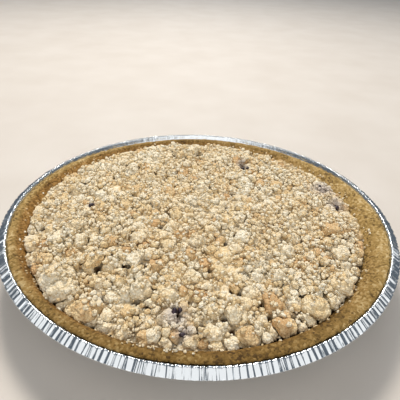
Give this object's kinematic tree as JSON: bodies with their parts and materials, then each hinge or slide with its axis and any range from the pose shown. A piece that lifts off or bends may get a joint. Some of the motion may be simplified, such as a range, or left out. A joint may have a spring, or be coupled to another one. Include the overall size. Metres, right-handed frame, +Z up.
{
  "type": "crumble pie",
  "caption": "Whole uncut apple crumble pie: a domed, clumpy crumble topping in a pressed biscuit-crumb crust, standing in its round foil tin with a pleated flange.",
  "frame": {"origin": "centre of the underside of the tin's floor", "axes": "+Z up out of the pie; -Y towards the side that the picture was taken from"},
  "size_m": [0.226, 0.226, 0.0375],
  "materials": {
    "foil": "bright pressed foil",
    "crumb_crust": "baked biscuit crumb, dry and granular",
    "crumble": "baked crumble, dry and granular"
  },
  "bodies": {
    "root": {"foil_tin": "foil", "crust": "crumb_crust", "crumble": "crumble"}
  },
  "joints": []
}
